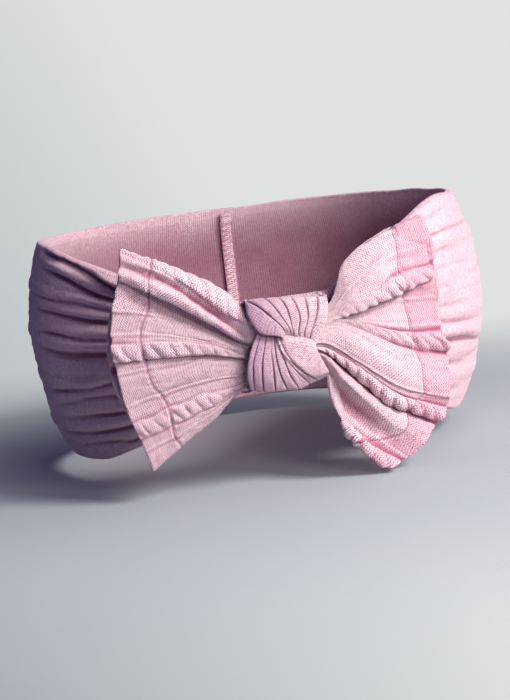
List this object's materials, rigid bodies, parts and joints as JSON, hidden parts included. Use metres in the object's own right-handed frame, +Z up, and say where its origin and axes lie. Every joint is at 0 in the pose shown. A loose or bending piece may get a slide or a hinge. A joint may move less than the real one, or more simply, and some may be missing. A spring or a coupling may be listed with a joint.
{
  "type": "knotted bow headband",
  "caption": "Soft cable-knit stretch headband for a baby, gathered at the front by a knotted strip that also pinches a bow with open-ended wings.",
  "frame": {"origin": "centre of the head that the band is worn on, on its widest circle", "axes": "+Z up the head's axis towards the crown, -Y to the front where the knot sits, +X to the right of a viewer who faces the knot"},
  "size_m": [0.1404, 0.1572, 0.069],
  "materials": {
    "band_knit": "fine cable-patterned nylon knit, dusty pink",
    "bow_knit": "fine cable-patterned nylon knit, dusty pink",
    "knot_knit": "fine plain nylon knit in tight folds, dusty pink",
    "thread": "spun polyester sewing thread, dusty pink"
  },
  "bodies": {
    "band_and_knot": {"band": "band_knit", "band_back_seam": "band_knit", "band_seam_thread": "thread", "knot_upper_strand": "knot_knit", "knot_lower_strand": "knot_knit", "knot_upper_tail": "knot_knit", "knot_lower_tail": "knot_knit", "knot_closing_thread": "thread", "bow_waist": "bow_knit", "waist_binding_thread": "thread"},
    "left_wing": {"left_wing": "bow_knit", "left_hem_thread": "thread"},
    "right_wing": {"right_wing": "bow_knit", "right_hem_thread": "thread"}
  },
  "joints": [
    {"name": "left_wing_flop", "type": "hinge", "parent": "band_and_knot", "child": "left_wing", "pos_m": [-0.014, -0.0785, -0.003], "axis": [0, 0, 1], "range_deg": [-15, 60], "stiffness_Nm_per_rad": 0.001},
    {"name": "right_wing_flop", "type": "hinge", "parent": "band_and_knot", "child": "right_wing", "pos_m": [0.014, -0.0785, -0.003], "axis": [0, 0, -1], "range_deg": [-12, 60], "stiffness_Nm_per_rad": 0.001}
  ]
}
